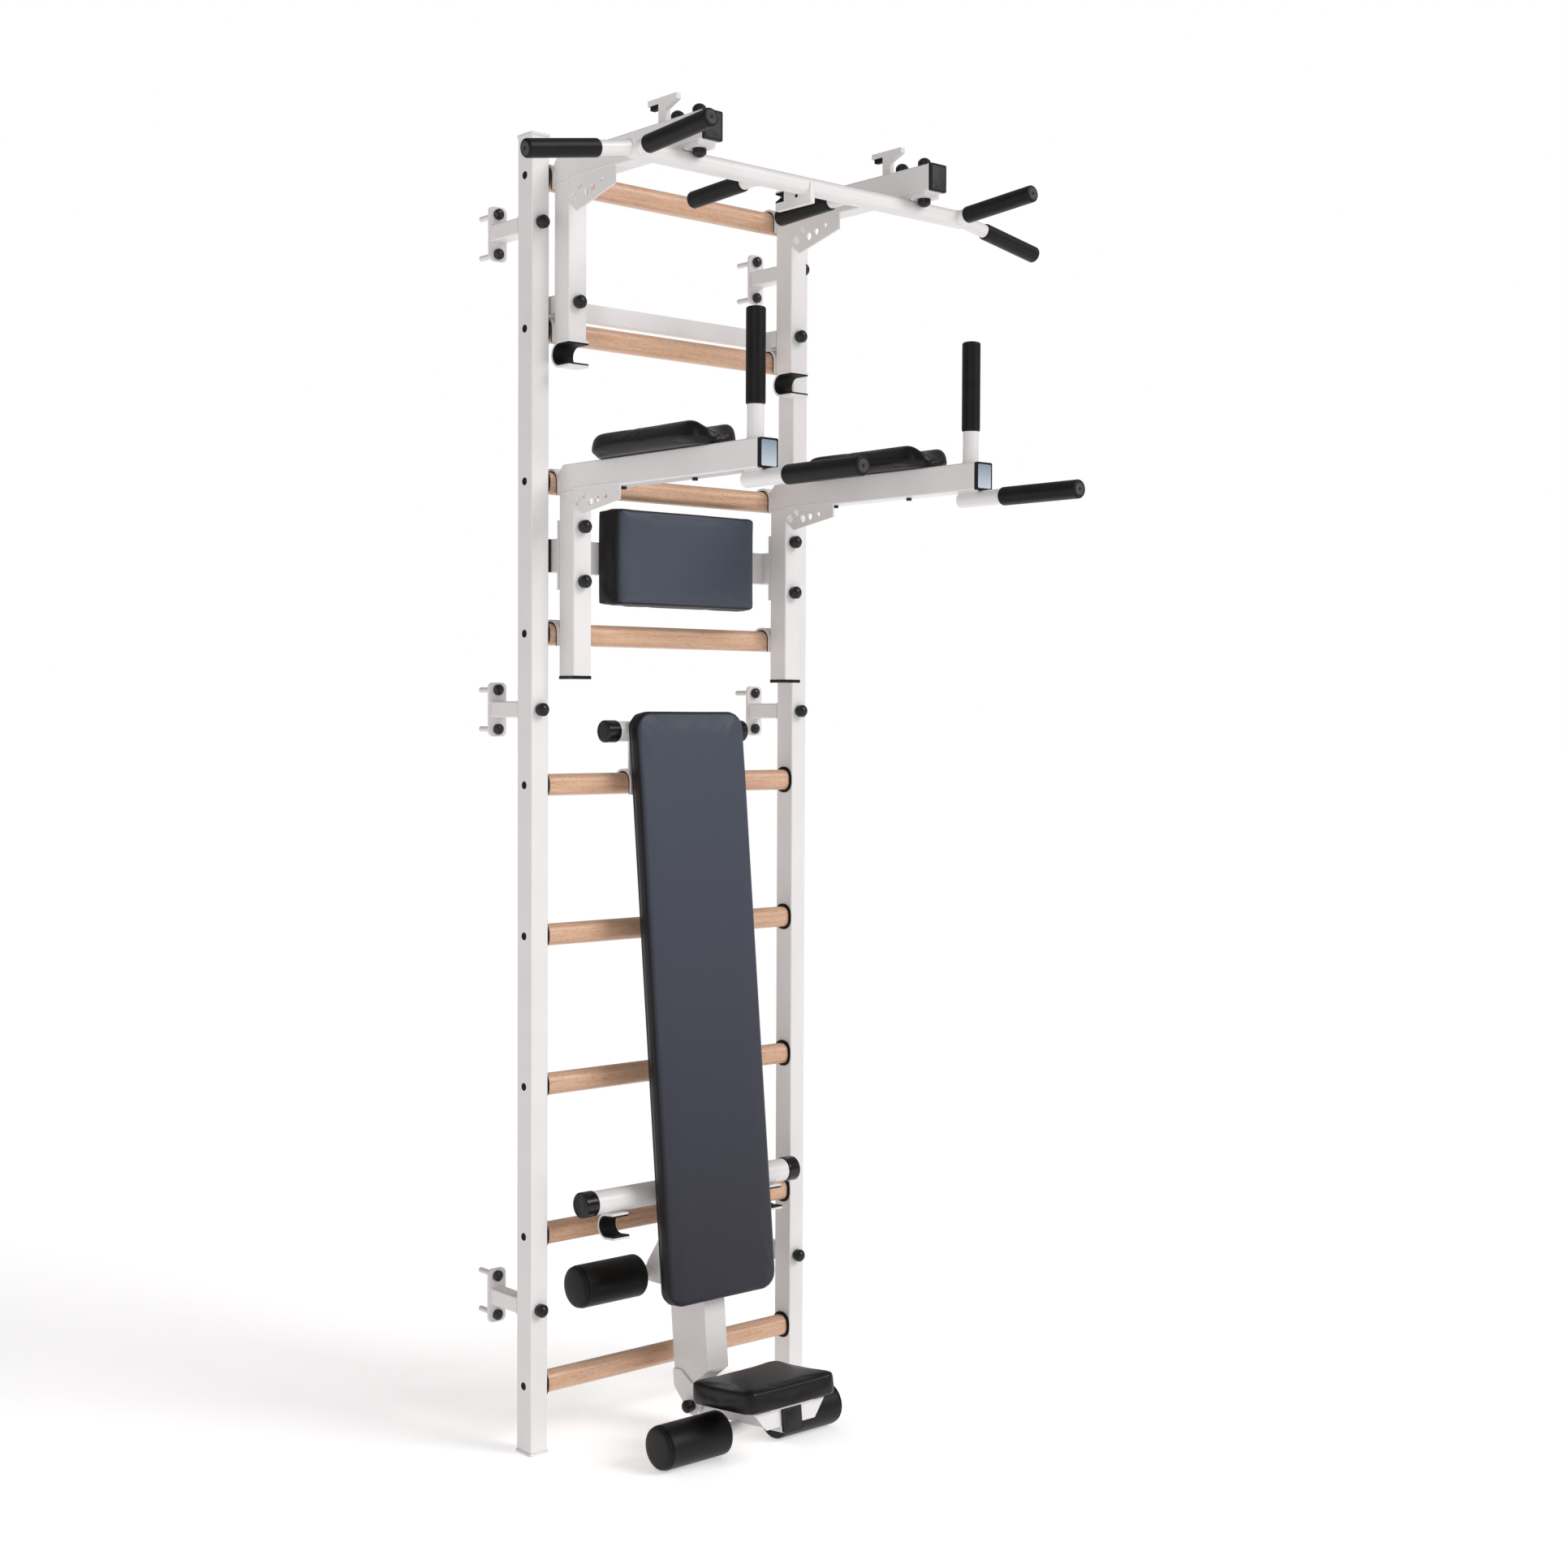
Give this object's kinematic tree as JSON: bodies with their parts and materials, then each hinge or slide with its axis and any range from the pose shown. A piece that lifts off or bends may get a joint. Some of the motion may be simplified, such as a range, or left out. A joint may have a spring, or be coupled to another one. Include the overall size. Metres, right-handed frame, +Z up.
{
  "type": "wall bars",
  "caption": "Wall-mounted steel ladder with oval wooden rungs, a hang-on pull-up frame, a dip station with pads and a hanging bench with a folding seat",
  "frame": {"origin": "centre of the bounding box at floor level", "axes": "+Z up, +Y towards the wall, +X along the rungs to the user's right when facing the wall"},
  "size_m": [1.2098, 0.97, 2.41],
  "materials": {
    "powder_coat": "off-white satin powder coat",
    "beech": "clear lacquered beech",
    "black_plastic": "black moulded plastic",
    "plug_plastic": "pale moulded plastic",
    "lining_rubber": "matt black rubber",
    "foam": "fine closed-cell black foam",
    "upholstery": "dark grey-blue upholstery over foam",
    "black_steel": "black-coated screws"
  },
  "bodies": {
    "wall_frame": {"left_post": "powder_coat", "right_post": "powder_coat", "rung_1": "beech", "rung_2": "beech", "rung_3": "beech", "rung_4": "beech", "rung_5": "beech", "rung_6": "beech", "rung_7": "beech", "rung_8": "beech", "rung_9": "beech", "rung_collars": "black_plastic", "rung_screws": "black_steel", "post_plugs": "plug_plastic", "wall_brackets": "powder_coat", "wall_bolts": "black_plastic", "bracket_bolts": "black_plastic"},
    "pull_up_unit": {"pull_up_uprights": "powder_coat", "pull_up_arm_left": "powder_coat", "pull_up_arm_right": "powder_coat", "pull_up_hooks": "powder_coat", "pull_up_linings": "lining_rubber", "pull_up_crossbar": "powder_coat", "pull_up_bar": "powder_coat", "pull_up_handles": "powder_coat", "pull_up_grips": "foam", "pull_up_bolts": "black_plastic", "barbell_cups": "powder_coat", "band_hooks": "powder_coat", "pull_up_end_caps": "black_plastic"},
    "dip_unit": {"dip_uprights": "powder_coat", "dip_arm_left": "powder_coat", "dip_arm_right": "powder_coat", "dip_hooks": "powder_coat", "dip_linings": "lining_rubber", "dip_crossbar": "powder_coat", "dip_back_pad": "upholstery", "dip_arm_pad_left": "upholstery", "dip_arm_pad_right": "upholstery", "dip_handles": "powder_coat", "dip_grips": "foam", "dip_bolts": "black_plastic", "dip_end_caps": "black_plastic"},
    "bench": {"bench_pad": "upholstery", "bench_board": "black_plastic", "bench_beam": "powder_coat", "bench_cross_tubes": "powder_coat", "bench_hooks": "powder_coat", "bench_linings": "lining_rubber", "bench_tube_caps": "black_plastic", "bench_roller_axle": "powder_coat", "hinge_pin": "black_plastic"},
    "seat": {"seat_pad": "upholstery", "seat_arm": "powder_coat", "seat_arm_cap": "black_plastic", "seat_roller_axle": "powder_coat"},
    "upper_left_roller": {"upper_roller_left": "foam"},
    "upper_right_roller": {"upper_roller_right": "foam"},
    "lower_left_roller": {"lower_roller_left": "foam"},
    "lower_right_roller": {"lower_roller_right": "foam"}
  },
  "joints": [
    {"name": "pull_up_lift", "type": "slide", "parent": "wall_frame", "child": "pull_up_unit", "axis": [0, 0, 1], "range_m": [0, 0.02]},
    {"name": "dip_lift", "type": "slide", "parent": "wall_frame", "child": "dip_unit", "axis": [0, 0, 1], "range_m": [0, 0.02]},
    {"name": "bench_lift", "type": "slide", "parent": "wall_frame", "child": "bench", "axis": [0, 0, 1], "range_m": [0, 0.02]},
    {"name": "seat_fold", "type": "hinge", "parent": "bench", "child": "seat", "pos_m": [0, 0.20254, 0.05492], "axis": [-1, 0, 0], "range_deg": [0, 25]},
    {"name": "upper_left_roller_spin", "type": "hinge", "parent": "bench", "child": "upper_left_roller", "pos_m": [0, 0.33037, 0.28258], "axis": [1, 0, 0], "continuous": true},
    {"name": "upper_right_roller_spin", "type": "hinge", "parent": "bench", "child": "upper_right_roller", "pos_m": [0, 0.33037, 0.28258], "axis": [1, 0, 0], "continuous": true},
    {"name": "lower_left_roller_spin", "type": "hinge", "parent": "seat", "child": "lower_left_roller", "pos_m": [0, 0.08077, 0.04274], "axis": [1, 0, 0], "continuous": true},
    {"name": "lower_right_roller_spin", "type": "hinge", "parent": "seat", "child": "lower_right_roller", "pos_m": [0, 0.08077, 0.04274], "axis": [1, 0, 0], "continuous": true}
  ]
}
